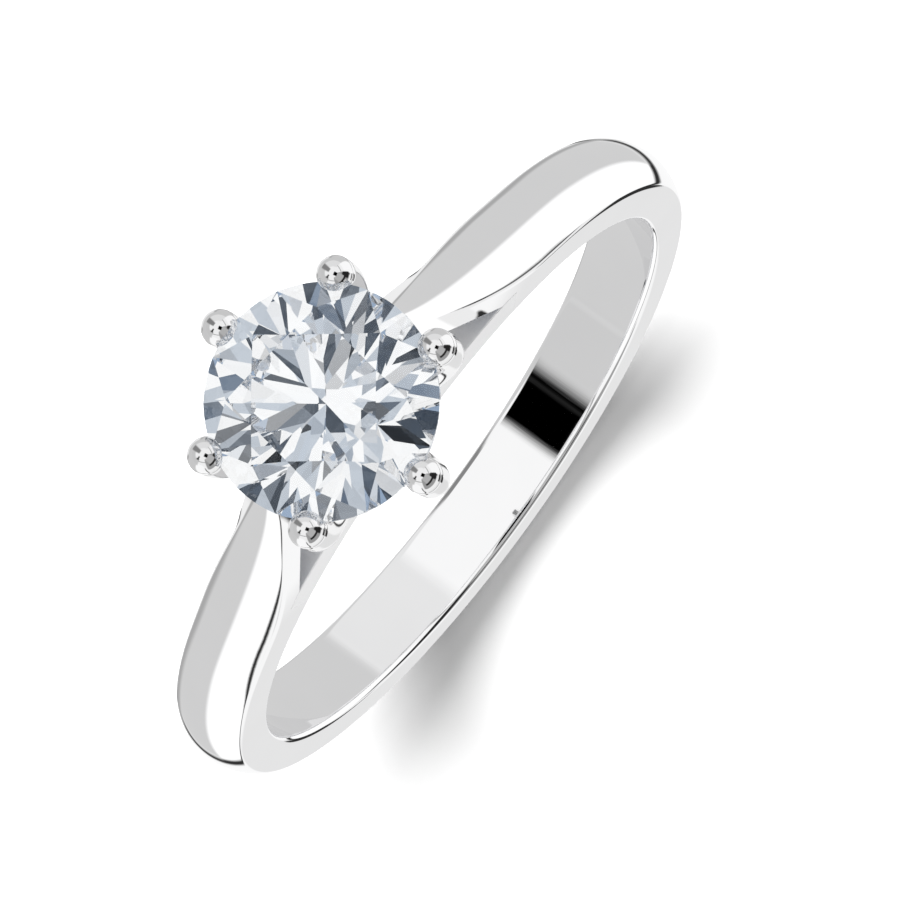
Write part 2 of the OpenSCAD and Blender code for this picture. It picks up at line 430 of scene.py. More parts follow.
@dataclass(frozen=True)
class PolishedMetal:
    """Rhodium-plated white gold, buffed to a mirror."""

    name: str
    colour: Colour = (0.94, 0.94, 0.945)
    gloss: tuple[float, float] = (0.015, 0.035)
    line_height: float = 0.0000004

    def build(self, polish: Tree) -> Material:
        """Makes the material: tone and gloss vary softly, and fine lines lift the surface."""
        material, tree, shader = new_material(self.name)
        low, high = self.gloss
        look = {"Colour": (*self.colour, 1.0), "Gloss Low": low, "Gloss High": high}
        effect = add_node(tree, "Group", look, node_tree=polish).outputs
        lines = {"Distance": self.line_height, "Height": effect["Height"]}
        values = {
            "Base Color": effect["Tone"],
            "Metallic": 1.0,
            "Roughness": effect["Roughness"],
            "Normal": add_node(tree, "Bump", lines).outputs["Normal"],
        }
        set_inputs(tree, shader, values)
        return material


@dataclass(frozen=True)
class BrilliantStone:
    """Colourless diamond: clear, with the refraction of the real stone and a trace of cool tone."""

    name: str
    clear: Colour = (0.985, 0.992, 1.0)
    cool: Colour = (0.95, 0.97, 0.99)
    sheen: Colour = (0.25, 0.28, 0.32)
    refraction: float = 2.417
    drift_scale: float = 900.0

    def build(self) -> Material:
        """Makes the material: glass whose tint drifts a little inside the stone."""
        material, tree, shader = new_material(self.name)
        values = {
            "Base Color": drifting(tree, self.drift_scale, self.clear, self.cool),
            "Roughness": 0.0,
            "IOR": self.refraction,
            "Transmission Weight": 1.0,
            "Specular Tint": (*self.sheen, 1.0),
        }
        set_inputs(tree, shader, values)
        return material


@dataclass(frozen=True)
class PaleFloor:
    """Matt white board that the ring stands on."""

    name: str
    colour: Colour = (0.8, 0.8, 0.8)
    mottle: float = 0.98
    mottle_scale: float = 60.0

    def build(self) -> Material:
        """Makes the material: matt white, with a faint mottle."""
        material, tree, shader = new_material(self.name)
        red, green, blue = (part * self.mottle for part in self.colour)
        values = {
            "Base Color": drifting(tree, self.mottle_scale, self.colour, (red, green, blue)),
            "Roughness": 1.0,
            "Specular IOR Level": 0.0,
        }
        set_inputs(tree, shader, values)
        return material


# --- Sub-assemblies ---


@dataclass(frozen=True)
class Band:
    """Shank, bridge and the two shoulders, which follow one edge curve."""

    bore_r: float = 8.675
    side_h: float = 1.155
    half_w: float = 1.15
    rail_half_w: float = 1.35
    dome_ratio: float = 0.41
    saw_angle: float = 57.0
    bridge_h: float = 0.945
    sweep_angle: float = 35.0
    sweep_out: float = 2.45
    sweep_in: float = 5.4
    sweep_lean: float = 19.5
    tip: tuple[float, float] = (2.85, 13.3)
    tip_half_w: float = 0.13
    taper_len: float = 3.45
    taper_power: float = 0.8
    swell: float = 0.06
    under_r: float = 9.24
    under_tip: tuple[float, float] = (2.7, 12.35)
    under_half_w: float = 0.85
    bore_ease: float = 0.22
    saw_ease: float = 0.012
    bridge_ease: float = 0.03
    round_steps: int = 110
    rise_steps: int = 30
    shoulder_steps: int = 70
    bridge_steps: int = 66

    @property
    def edge_r(self) -> float:
        """Distance of the round band's edge from the finger axis."""
        return self.bore_r + self.side_h

    @property
    def bridge_r(self) -> float:
        """Radius of the top of the bridge."""
        return self.bore_r + self.bridge_h

    def edge_curve(self, t: Array) -> Array:
        """Edge of the shoulder: a cubic curve from the round band up to the head.

        Args:
            t: Place along the curve, from 0 at the band to 1 at the head.

        Returns:
            Points (n, 2) as (x, z): the Bezier sum of the start, a pull along the band, a pull back
            from the head along its lean, and the end.
        """
        start, end = polar(self.edge_r, self.sweep_angle), np.array(self.tip)
        turn, lean = np.radians([self.sweep_angle, self.sweep_lean])
        pull_a = start + self.sweep_out * np.array([-np.sin(turn), np.cos(turn)])
        pull_b = end - self.sweep_in * np.array([-np.sin(lean), np.cos(lean)])
        t = t[:, None]
        return (
            (1 - t) ** 3 * start
            + 3 * t * (1 - t) ** 2 * pull_a
            + 3 * t**2 * (1 - t) * pull_b
            + t**3 * end
        )

    def saw_t(self) -> float:
        """Place along the edge curve that lies at the saw cut."""
        t = np.linspace(0.0, 1.0, 4001)
        return float(np.interp(self.saw_angle, angle_of(self.edge_curve(t)), t))

    def top_half_w(self, edge: Array) -> Array:
        """Half width of the rounded top: it swells a little, then tapers as a power of a sine."""
        rising = edge[:, 1] >= polar(self.edge_r, self.sweep_angle)[1]
        run = np.clip((edge[:, 0] - self.tip[0]) / self.taper_len, 0, 1)
        share = np.where(rising, run, 1.0)
        lift = np.maximum(0.0, np.sin(np.radians(angle_of(edge)))) ** 2
        full = self.half_w + self.swell * lift
        taper = np.sin(np.radians(90 * share)) ** self.taper_power
        return mix(self.tip_half_w, full, taper)

    def side_half_w(self, angle: Array) -> Array:
        """Half width of the finger side: it grows with the squared sine of the angle."""
        lift = np.maximum(0.0, np.sin(np.radians(angle))) ** 2
        return self.half_w + (self.rail_half_w - self.half_w) * lift

    def half_stations(self) -> tuple[Array, Array]:
        """Edge points and angles of the shank's right half, to one step past the saw cut."""
        round_angle = np.linspace(-90.0, self.sweep_angle, self.round_steps + 1)[:-1]
        saw = self.saw_t()
        step = saw / self.rise_steps
        rise = self.edge_curve(np.arange(self.rise_steps + 2) * step)
        edge = np.concatenate([polar(self.edge_r, round_angle), rise])
        return edge, np.concatenate([round_angle, angle_of(rise)])

    def shank_skin(self) -> Skin:
        """Band from saw cut to saw cut, the long way round: its right half and the mirror image."""
        edge, angle = self.half_stations()
        outline = Outline(
            low_w=self.side_half_w(angle),
            low_r=np.full(len(angle), self.bore_r),
            top_w=self.top_half_w(edge),
            top_r=np.linalg.norm(edge, axis=1),
            dome_ratio=self.dome_ratio,
            low_ease=self.bore_ease,
        )
        right = lay_out(outline.loop(), angle)[::-1]
        left = right[:-1] * [-1.0, 1.0, 1.0]
        return band_skin(np.concatenate([right, left[::-1]]))

    def under_line(self, angle: Array) -> tuple[Array, Array]:
        """Underside of a shoulder: a straight line from inside the bridge to inside the head.

        Args:
            angle: Angles at which planes through the finger axis meet the line.

        Returns:
            Distance of the line from the axis at each angle, and the share of its length.
        """
        start = polar(self.under_r, self.saw_angle)
        run = np.array(self.under_tip) - start
        out = polar(1.0, angle)
        cross = out[:, 0] * run[1] - out[:, 1] * run[0]
        reach = (start[0] * run[1] - start[1] * run[0]) / cross
        share = ((out * reach[:, None] - start) @ run) / (run @ run)
        return reach, share

    def shoulder_outline(self, edge: Array, angle: Array) -> Outline:
        """Cross-sections of the right shoulder, cut off level with the top of the bridge."""
        top_w, top_r = self.top_half_w(edge), np.linalg.norm(edge, axis=1)
        reach, share = self.under_line(angle)
        saw = self.edge_curve(np.array([self.saw_t()]))
        saw_side = self.side_half_w(angle_of(saw))
        saw_share = (self.under_r - self.bore_r) / (np.linalg.norm(saw) - self.bore_r)
        start_w = mix(saw_side, self.top_half_w(saw), saw_share)
        under_w = mix(start_w, self.under_half_w, share)
        low_r = np.maximum(reach, self.bridge_r - SEAT)
        low_w = mix(under_w, top_w, (low_r - reach) / (top_r - reach))
        return Outline(low_w, low_r, top_w, top_r, self.dome_ratio, low_ease=self.saw_ease)

    def shoulder_skin(self, side: int) -> Skin:
        """Shoulder from the saw cut to the rail; side is 1 for the right and -1 for the left."""
        saw = self.saw_t()
        step = (1.0 - saw) / self.shoulder_steps
        edge = self.edge_curve(saw + step * np.arange(-1, self.shoulder_steps + 2))
        angle = angle_of(edge)
        points = lay_out(self.shoulder_outline(edge, angle).loop(), angle)
        return band_skin(points * [float(side), 1.0, 1.0])

    def bridge_skin(self) -> Skin:
        """Bridge under the head: its walls line up with the shank and with the shoulders."""
        angle = np.linspace(self.saw_angle, 180 - self.saw_angle, self.bridge_steps + 1)
        step = angle[1] - angle[0]
        angle = np.concatenate([[angle[0] - step], angle, [angle[-1] + step]])
        climb = np.minimum(angle, 180 - angle)
        edge = self.edge_curve(np.linspace(self.saw_t(), 1.0, 400))
        over = self.shoulder_outline(edge, angle_of(edge))
        covered = over.low_r <= self.bridge_r
        over_angle, over_w = angle_of(edge)[covered], over.low_w[covered]
        gap = self.side_half_w(over_angle[-1:]) - over_w[-1]
        top_w = np.where(
            climb <= over_angle[-1],
            np.interp(climb, over_angle, over_w),
            self.side_half_w(climb) - gap,
        )
        outline = Outline(
            low_w=self.side_half_w(climb),
            low_r=np.full(len(angle), self.bore_r),
            top_w=top_w,
            top_r=np.full(len(angle), self.bridge_r),
            low_ease=self.bore_ease,
            top_ease=self.bridge_ease,
        )
        return band_skin(lay_out(outline.loop(), angle))

    def build(self, metal: Material, satin: Material) -> None:
        """Makes the four pieces of the band: all are polished but the bridge, which is satin."""
        fit_piece("band_shank", self.shank_skin(), metal, "shank")
        fit_piece("band_bridge", self.bridge_skin(), satin, "bridge")
        fit_piece("shoulder_R", self.shoulder_skin(1), metal, "shoulder_right")
        fit_piece("shoulder_L", self.shoulder_skin(-1), metal, "shoulder_left")


def face_out(points: Array, blocks: list[Array]) -> list[Array]:
    """Turns each face of a convex body so that it points away from the body's middle."""
    middle = points.mean(0)
    outward = []
    for faces in blocks:
        corners = points[faces]
        normal = np.cross(corners[:, 1] - corners[:, 0], corners[:, 2] - corners[:, 0])
        inward = (normal * (corners.mean(1) - middle)).sum(-1) < 0
        outward.append(np.where(inward[:, None], faces[:, ::-1], faces))
    return outward


@dataclass(frozen=True)
class Stone:
    """Round brilliant."""

    diameter: float = 6.42
    girdle_z: float = 14.02
    girdle_t: float = 0.18
    table_share: float = 0.57
    crown_angle: float = 34.5
    pavilion_angle: float = 40.8
    turn: float = 13.4
    star_share: float = 0.5
    half_share: float = 0.77
    girdle_steps: int = 4
    clearance: float = 0.006

    @property
    def radius(self) -> float:
        """Radius of the girdle."""
        return self.diameter / 2

    @property
    def top_level(self) -> float:
        """Height of the upper edge of the girdle."""
        return self.girdle_z + self.girdle_t / 2

    @property
    def low_level(self) -> float:
        """Height of the lower edge of the girdle."""
        return self.girdle_z - self.girdle_t / 2

    def ring(self, radius: float, height: float, start: float) -> Array:
        """Eight points at one height, 45 degrees apart."""
        return turned(radius, np.radians(start + 45.0 * np.arange(8) + self.turn), height)

    def girdle(self, peak_r: float, peak_z: float, level: float) -> Array:
        """Girdle edge where the small facets meet it.

        Args:
            peak_r: Distance of a small facet's far corner from the axis.
            peak_z: Height of that corner.
            level: Height of the middle of each small facet's foot.

        Returns:
            Points (16 * girdle_steps, 3) on the girdle circle. Each lies on its facet's plane, so
            the height is level minus (radius * cos(offset) - chord) times the facet's slope.
        """
        count = 16 * self.girdle_steps
        step = 22.5 / self.girdle_steps
        number = np.arange(count)
        half = np.cos(np.radians(11.25))
        chord = self.radius * half
        slope = (peak_z - level) / (chord - peak_r * half)
        offset = np.radians((number % self.girdle_steps) * step - 11.25)
        turn = np.radians(number * step + self.turn)
        height = level - (self.radius * np.cos(offset) - chord) * slope
        return turned(self.radius, turn, height)

    def skin(self) -> Skin:
        """All facets as flat faces, from the table down to the pavilion mains."""
        g = self.girdle_steps
        crown, pavilion = np.tan(np.radians([self.crown_angle, self.pavilion_angle]))
        corner = np.cos(np.radians(22.5))
        table_r = self.table_share * self.radius
        table_z = self.top_level + (self.radius - table_r) * crown
        flat_r = table_r * corner
        star_r = flat_r + self.star_share * (self.radius - flat_r)
        star_z = self.top_level + (self.radius - star_r * corner) * crown
        half_r = (1 - self.half_share) * self.radius
        half_z = self.low_level - (self.radius - half_r * corner) * pavilion
        points = np.concatenate(
            [
                self.ring(table_r, table_z, 0.0),
                self.ring(star_r, star_z, 22.5),
                self.girdle(star_r, star_z, self.top_level),
                self.girdle(half_r, half_z, self.low_level),
                self.ring(half_r, half_z, 22.5),
                [[0.0, 0.0, self.low_level - self.radius * pavilion]],
            ]
        )
        k = np.arange(8)
        table, star = k, 8 + k
        upper, lower = 16, 16 + 16 * g
        low_star = 16 + 32 * g + k
        culet = np.full(8, 24 + 32 * g)
        around = np.arange(16 * g)
        after = (around + 1) % (16 * g)
        step = np.arange(g + 1)

        def feet(start: Array) -> Array:
            """Numbers of the girdle points under one small facet, from its first to its last."""
            return (start[:, None] + step) % (16 * g)

        main = 2 * g * k
        faces = [
            table[None],
            np.stack([table, star, np.roll(table, -1)], -1),
            np.stack([table, np.roll(star, 1), upper + main, star], -1),
            np.concatenate([star[:, None], upper + feet(main)[:, ::-1]], 1),
            np.concatenate([star[:, None], upper + feet(main + g)[:, ::-1]], 1),
            np.stack([upper + around, lower + around, lower + after, upper + after], -1),
            np.concatenate([low_star[:, None], lower + feet(main)], 1),
            np.concatenate([low_star[:, None], lower + feet(main + g)], 1),
            np.stack([culet, low_star, lower + main, np.roll(low_star, 1)], -1),
        ]
        return Skin(points, flat=face_out(points, faces))

    def build(self, crystal: Material) -> None:
        """Makes the stone."""
        fit_piece("round_brilliant", self.skin(), crystal, "diamond")

    def keep_out(self, points: Array) -> Array:
        """Moves points away from the axis of the stone until they lie just outside it."""
        x, y, z = points[..., 0], points[..., 1], points[..., 2]
        crown, pavilion = np.tan(np.radians([self.crown_angle, self.pavilion_angle]))
        above = self.radius - np.maximum(0.0, z - self.top_level) / crown
        below = self.radius - np.maximum(0.0, self.low_level - z) / pavilion
        limit = np.minimum(above, below) + self.clearance
        reach = np.maximum(np.hypot(x, y), 1e-9)
        scale = np.maximum(1.0, limit / reach)
        return np.stack([x * scale, y * scale, z], -1)


@dataclass(frozen=True)
class Head:
    """Turned base, gallery rail and six claws."""

    stone: Stone
    bore_r: float = 8.675
    bridge_r: float = 9.62
    base_r: float = 1.3
    base_top_z: float = 10.15
    peg_r: float = 0.5
    peg_inset: float = 0.06
    rail_in_r: float = 2.45
    rail_out_r: float = 2.85
    rail_low_z: float = 12.3
    rail_top_z: float = 13.2
    rail_ease: float = 0.08
    claw_count: int = 6
    claw_start: float = 30.0
    circle_r: float = 3.42
    ball_r: float = 0.5
    ball_z: float = 14.15
    wire_r: float = 0.52
    bend_z: float = 13.35
    bend_r: float = 2.6
    bend_angle: float = 48.0
    foot_r: float = 0.4
    foot_z: float = 9.95
    base_ease: float = 0.08
    loop_gap: float = 0.01
    neck: tuple[float, ...] = (0.012, 0.03, 0.3)
    lead: float = 0.25
    taper_drop: float = 0.005
    ball_start: float = 87.0
    around: int = 72

    def base_skin(self) -> Skin:
        """Base turned about the Z axis, with a saddle below that follows the bridge, and a peg."""
        turn = np.linspace(0, 2 * np.pi, self.around, endpoint=False)
        ease, gap, top = self.base_ease, self.loop_gap, self.base_top_z
        arc = np.radians(np.linspace(0.0, 90.0, 7))
        below = [
            *(self.peg_r * 0.5, self.peg_r - gap, self.peg_r, self.peg_r),
            *(self.peg_r + gap, self.base_r * 0.7, self.base_r - gap, self.base_r),
        ]
        round_edge = self.base_r - ease + ease * np.cos(arc)
        radii = np.concatenate([below, [self.base_r], round_edge, [self.base_r * 0.5]])[:, None]
        x = radii * np.cos(turn)
        under_peg = np.sqrt((self.bore_r + self.peg_inset) ** 2 - x**2)
        saddle = np.sqrt((self.bridge_r - SEAT) ** 2 - x**2)
        above = np.concatenate([[top - ease - 2 * gap], top - ease + ease * np.sin(arc), [top]])
        level = np.repeat(above[:, None], self.around, 1)
        z = np.concatenate([under_peg[:3], saddle[3:8], level])
        first = np.array([0.0, 0.0, self.bore_r + self.peg_inset])
        return turned_skin(turned(radii, turn, z), first, np.array([0.0, 0.0, top]))

    def rail_skin(self) -> Skin:
        """Rail turned about the Z axis: a rectangle with rounded corners carried round."""
        width = (self.rail_out_r - self.rail_in_r) / 2
        height = (self.rail_top_z - self.rail_low_z) / 2
        arc, ease = np.radians(np.linspace(0.0, 90.0, 7)), self.rail_ease
        corner_r, corner_z = width - ease, height - ease
        quarter = np.stack([corner_r + ease * np.cos(arc), corner_z + ease * np.sin(arc)], -1)
        back = quarter[::-1]
        profile = [quarter, back * [-1, 1], quarter * [-1, -1], back * [1, -1]]
        middle = [(self.rail_in_r + self.rail_out_r) / 2, (self.rail_low_z + self.rail_top_z) / 2]
        radius, level = (middle + np.concatenate(profile)).T
        turn = np.linspace(0, 2 * np.pi, 2 * self.around, endpoint=False)[:, None]
        return torus_skin(turned(radius, turn, level))

    def claw_line(self) -> tuple[Array, Array, Array]:
        """Middle line of a claw on +X, from the equator of its ball down to its foot.

        Returns:
            Points (n, 2) as (x, z), unit directions (n, 2) along the line, and the wire's radius:
            straight down, round the bend, then straight and tapering.
        """
        lead = np.linspace(self.bend_z + self.lead, self.bend_z, 4)
        upright = np.concatenate([self.ball_z - np.array(self.neck), lead])
        turn = np.radians(np.linspace(0.0, self.bend_angle, 25)[1:])
        centre_x = self.circle_r - self.bend_r
        bend_x = centre_x + self.bend_r * np.cos(turn)
        bend = np.stack([bend_x, self.bend_z - self.bend_r * np.sin(turn)], -1)
        down = np.stack([-np.sin(turn), -np.cos(turn)], -1)
        length = (bend[-1, 1] - self.foot_z) / -down[-1, 1]
        share = np.linspace(0.0, 1.0, 9)[1:, None]
        foot = bend[-1] + down[-1] * length * share
        top = np.stack([np.full(len(upright), self.circle_r), upright], -1)
        points = np.concatenate([top, bend, foot])
        ahead, aslant = np.tile([0.0, -1.0], (len(top), 1)), np.tile(down[-1], (len(foot), 1))
        along = np.concatenate([ahead, down, aslant])
        radius = np.full(len(points), self.wire_r)
        radius[0] = (self.ball_r + self.wire_r) / 2
        radius[-len(foot) :] = mix(self.wire_r - self.taper_drop, self.foot_r, share[:, 0])
        return points, along, radius

    def claw_skin(self, number: int) -> Skin:
        """Claw: a ball end, then round wire down the claw's line, seated against the stone."""
        turn = np.linspace(0, 2 * np.pi, self.around, endpoint=False)
        ball = np.radians(np.linspace(self.ball_start, 0.0, 26))
        line, along, wire = self.claw_line()
        ball_z = self.ball_z + self.ball_r * np.sin(ball)
        ball_line = np.stack([np.full(len(ball), self.circle_r), ball_z], -1)
        middle = np.concatenate([ball_line, line])
        heading = np.concatenate([np.tile([0.0, -1.0], (len(ball), 1)), along])
        radius = np.concatenate([self.ball_r * np.cos(ball), wire])
        outward = np.stack([-heading[:, 1], heading[:, 0]], -1)
        spread = radius[:, None] * np.cos(turn)
        x = middle[:, :1] + outward[:, :1] * spread
        z = middle[:, 1:] + outward[:, 1:] * spread
        rings = np.stack([x, radius[:, None] * np.sin(turn), z], -1)
        first = np.array([self.circle_r, 0.0, self.ball_z + self.ball_r])
        last = np.array([middle[-1, 0], 0.0, middle[-1, 1]])
        skin = turned_skin(rings, first, last)
        place = np.radians(self.claw_start + 360.0 / self.claw_count * (number - 1))
        c, s = np.cos(place), np.sin(place)
        skin.points = skin.points @ np.array([[c, s, 0.0], [-s, c, 0.0], [0.0, 0.0, 1.0]])
        skin.points = self.stone.keep_out(skin.points)
        return skin

    def build(self, metal: Material) -> None:
        """Makes the base, the rail and the claws."""
        fit_piece("head_seat", self.base_skin(), metal, "head_base", crease=35)
        fit_piece("gallery", self.rail_skin(), metal, "gallery_rail", crease=40)
        for number in range(1, self.claw_count + 1):
            skin = self.claw_skin(number)
            fit_piece(f"claw_wire_{number}", skin, metal, f"claw_{number}", crease=50)


# --- Studio ---


def aim(azimuth: float, elevation: float) -> Vector:
    """Unit direction at an azimuth, from +X towards +Y, and an elevation, both in degrees."""
    a, e = np.radians([azimuth, elevation])
    return Vector((np.cos(e) * np.cos(a), np.cos(e) * np.sin(a), np.sin(e)))


@dataclass(frozen=True)
class Card:
    """A card or soft light hung far out in the studio.

    Azimuth and elevation are in degrees. The half sizes across and up, and the soft border, are
    tangents of the angles that they cover.
    """

    group: ClassVar[str] = "StudioCard"
    azimuth: float
    elevation: float
    across: float
    up: float
    tone: float
    soft: float = 0.05
    roll: float = 0.0
    tint: Colour = (1.0, 1.0, 1.0)

    def values(self) -> Inputs:
        """Inputs of the card group: the card's own directions, half sizes and border."""
        a, r = np.radians([self.azimuth, self.roll])
        out = aim(self.azimuth, self.elevation)
        level = Vector((-np.sin(a), np.cos(a), 0.0))
        rise = out.cross(level)
        return {
            "Out": out,
            "Across": level * np.cos(r) + rise * np.sin(r),
            "Up": rise * np.cos(r) - level * np.sin(r),
            "Half Across": self.across,
            "Half Up": self.up,
            "Soft": self.soft,
        }


@dataclass(frozen=True)
class Panel:
    """A wall panel of the light tent, curved round the ring. All its sizes are in degrees.

    It covers the directions whose azimuth is within half its width of its own and whose elevation
    is between low and high, with rounded corners and a soft border.
    """

    group: ClassVar[str] = "TentPanel"
    azimuth: float
    half: float
    low: float
    high: float
    tone: float
    soft: float = 2.0
    corner: float = 1.0
    tint: Colour = (1.0, 1.0, 1.0)

    def values(self) -> Inputs:
        """Inputs of the panel group, with the panel's angles in radians."""
        turn = np.radians(self.azimuth)
        return {
            "Heading": (np.cos(turn), np.sin(turn), 0.0),
            "Half Width": np.radians(self.half),
            "Middle": np.radians((self.low + self.high) / 2),
            "Half Height": np.radians((self.high - self.low) / 2),
            "Soft": np.radians(self.soft),
            "Corner": np.radians(self.corner),
        }


def math_node(group: Tree, operation: str, *terms: Socket | float) -> Socket:
    """One sum on one or two values, as a Math node."""
    return add_node(group, "Math", dict(enumerate(terms)), operation=operation).outputs[0]


def dot_node(group: Tree, first: Socket, second: Socket) -> Socket:
    """Dot product of two vectors."""
    terms = {0: first, 1: second}
    return add_node(group, "VectorMath", terms, operation="DOT_PRODUCT").outputs["Value"]


def eased(group: Tree, room: Socket, soft: Socket) -> Socket:
    """1 where room is above soft, 0 where it is below minus soft, and a smooth step between."""
    span = {"Value": room, "From Min": math_node(group, "MULTIPLY", soft, -1.0), "From Max": soft}
    return add_node(group, "MapRange", span, interpolation_type="SMOOTHSTEP").outputs[0]


def cover_group(name: str, inputs: Inputs) -> tuple[Tree, Sockets]:
    """Starts a group that lays a Tone over the colour Below, as seen in a Direction."""
    white = (1.0, 1.0, 1.0, 1.0)
    shared = {"Below": white, "Tone": white, "Direction": (0.0, 0.0, 1.0)}
    return new_group(name, shared | inputs, {"Colour": COLOUR})


def lay_over(group: Tree, enter: Sockets, cover: Socket) -> None:
    """Ends such a group: cover is the share of the tone."""
    share = {"Factor": cover, "A": enter["Below"], "B": enter["Tone"]}
    lay = add_node(group, "Mix", data_type="RGBA", inputs=share)
    set_inputs(group, group.nodes["out"], {"Colour": lay.outputs["Result"]})


def panel_group() -> None:
    """Effect that lays one panel over a picture of the studio.

    The group takes a Direction, the panel's Heading, its sizes and its tone, and gives the Colour
    seen in that direction. The distance to the panel's edge is that of a rounded rectangle in
    azimuth and elevation.
    """
    sizes = {"Half Width": 1.0, "Middle": 0.0, "Half Height": 1.0, "Soft": 0.05, "Corner": 0.05}
    group, enter = cover_group(Panel.group, {"Heading": (1.0, 0.0, 0.0)} | sizes)
    calc = partial(math_node, group)
    level = {0: enter["Direction"], 1: (1.0, 1.0, 0.0)}
    flat = add_node(group, "VectorMath", level, operation="MULTIPLY").outputs[0]
    flat = add_node(group, "VectorMath", {0: flat}, operation="NORMALIZE").outputs[0]
    aside = calc("ARCCOSINE", dot_node(group, flat, enter["Heading"]))
    height = add_node(group, "SeparateXYZ", {0: enter["Direction"]}).outputs["Z"]
    off = calc("ABSOLUTE", calc("SUBTRACT", calc("ARCSINE", height), enter["Middle"]))

    def past(place: Socket, size: str) -> Socket:
        """How far a place lies past the start of the rounded corner."""
        return calc("SUBTRACT", place, calc("SUBTRACT", enter[size], enter["Corner"]))

    side, end = past(aside, "Half Width"), past(off, "Half Height")
    squares = [calc("POWER", calc("MAXIMUM", gap, 0.0), 2.0) for gap in (side, end)]
    outside = calc("SQRT", calc("ADD", *squares))
    within = calc("MINIMUM", calc("MAXIMUM", side, end), 0.0)
    room = calc("SUBTRACT", enter["Corner"], calc("ADD", outside, within))
    lay_over(group, enter, eased(group, room, enter["Soft"]))


def card_group() -> None:
    """Effect that lays one card over a picture of the studio.

    The group takes a Direction, the card's own directions, half sizes and border, and gives the
    Colour seen in that direction: the card's tone inside it and the colour below outside.
    """
    axes = {"Out": (0.0, 0.0, 1.0), "Across": (1.0, 0.0, 0.0), "Up": (0.0, 1.0, 0.0)}
    sizes = {"Half Across": 1.0, "Half Up": 1.0, "Soft": 0.05}
    group, enter = cover_group(Card.group, axes | sizes)
    calc = partial(math_node, group)
    ahead = dot_node(group, enter["Direction"], enter["Out"])
    depth = calc("MAXIMUM", ahead, BEHIND)

    def inside(axis: str) -> Socket:
        """1 inside the card's half size along an axis, easing to 0 over the soft border."""
        share = dot_node(group, enter["Direction"], enter[axis])
        place = calc("ABSOLUTE", calc("DIVIDE", share, depth))
        return eased(group, calc("SUBTRACT", enter[f"Half {axis}"], place), enter["Soft"])

    cover = calc("MULTIPLY", inside("Across"), inside("Up"))
    lay_over(group, enter, calc("MULTIPLY", cover, calc("GREATER_THAN", ahead, BEHIND)))


@dataclass(frozen=True)
class SoftLight:
    """Round soft light that lights the floor."""

    name: str
    azimuth: float
    elevation: float
    distance: float
    size: float
    power: float

    def build(self) -> None:
        """Makes the lamp, pointed at the foot of the ring and hidden from mirrors."""
        lamp = bpy.data.lights.new(self.name, "AREA")
        lamp.shape = "DISK"
        lamp.size = self.size
        lamp.energy = self.power
        light = bpy.data.objects.new(self.name, lamp)
        out = aim(self.azimuth, self.elevation)
        light.location = out * self.distance + Vector((0.0, 0.0, FLOOR_Z * MM))
        light.rotation_mode = "QUATERNION"
        light.rotation_quaternion = out.to_track_quat("Z", "Y")
        light.visible_camera = False
        light.visible_glossy = False
        light.visible_transmission = False
        bpy.context.scene.collection.objects.link(light)


